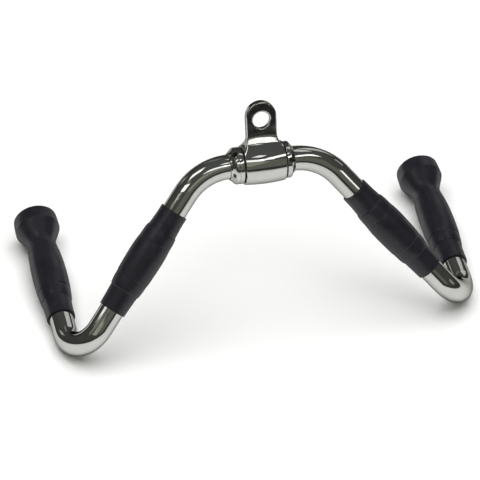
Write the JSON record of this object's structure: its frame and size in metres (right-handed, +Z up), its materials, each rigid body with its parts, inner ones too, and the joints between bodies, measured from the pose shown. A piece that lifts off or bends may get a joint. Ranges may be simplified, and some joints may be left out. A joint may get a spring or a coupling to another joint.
{
  "type": "revolving cable bar",
  "caption": "Bent steel pulling bar for a cable machine: a revolving eye on its middle, two dropped arms with rubber grips, hairpin bends and two rearward handles ending in knobs",
  "frame": {"origin": "on the floor at the middle of the footprint's bounding box, the bar standing on its two hairpin bends and its two handles", "axes": "+Z up, +X along the hub's axis (the bar's straight middle), handles running to +Y"},
  "size_m": [0.4668, 0.2088, 0.2321],
  "materials": {
    "bar_chrome": "bright chrome plate over polished round steel",
    "hub_chrome": "bright chrome plate over a smooth casting",
    "collar_chrome": "bright chrome plate over turned steel",
    "screw_steel": "black oxide",
    "bush_plastic": "black moulded bearing plastic",
    "grip_rubber": "near-black moulded rubber with a soft sheen"
  },
  "bodies": {
    "bar": {"bent_bar": "bar_chrome", "inner_grip_left": "grip_rubber", "inner_grip_right": "grip_rubber", "outer_grip_left": "grip_rubber", "outer_grip_right": "grip_rubber", "collar_left": "collar_chrome", "collar_right": "collar_chrome", "set_screw_left": "screw_steel", "set_screw_right": "screw_steel"},
    "hub": {"hub_sleeve": "hub_chrome", "bush_left": "bush_plastic", "bush_right": "bush_plastic"}
  },
  "joints": [
    {"name": "hub_swivel", "type": "hinge", "parent": "bar", "child": "hub", "pos_m": [0.0021, -0.01477, 0.16894], "axis": [1, 0, 0], "continuous": true}
  ]
}
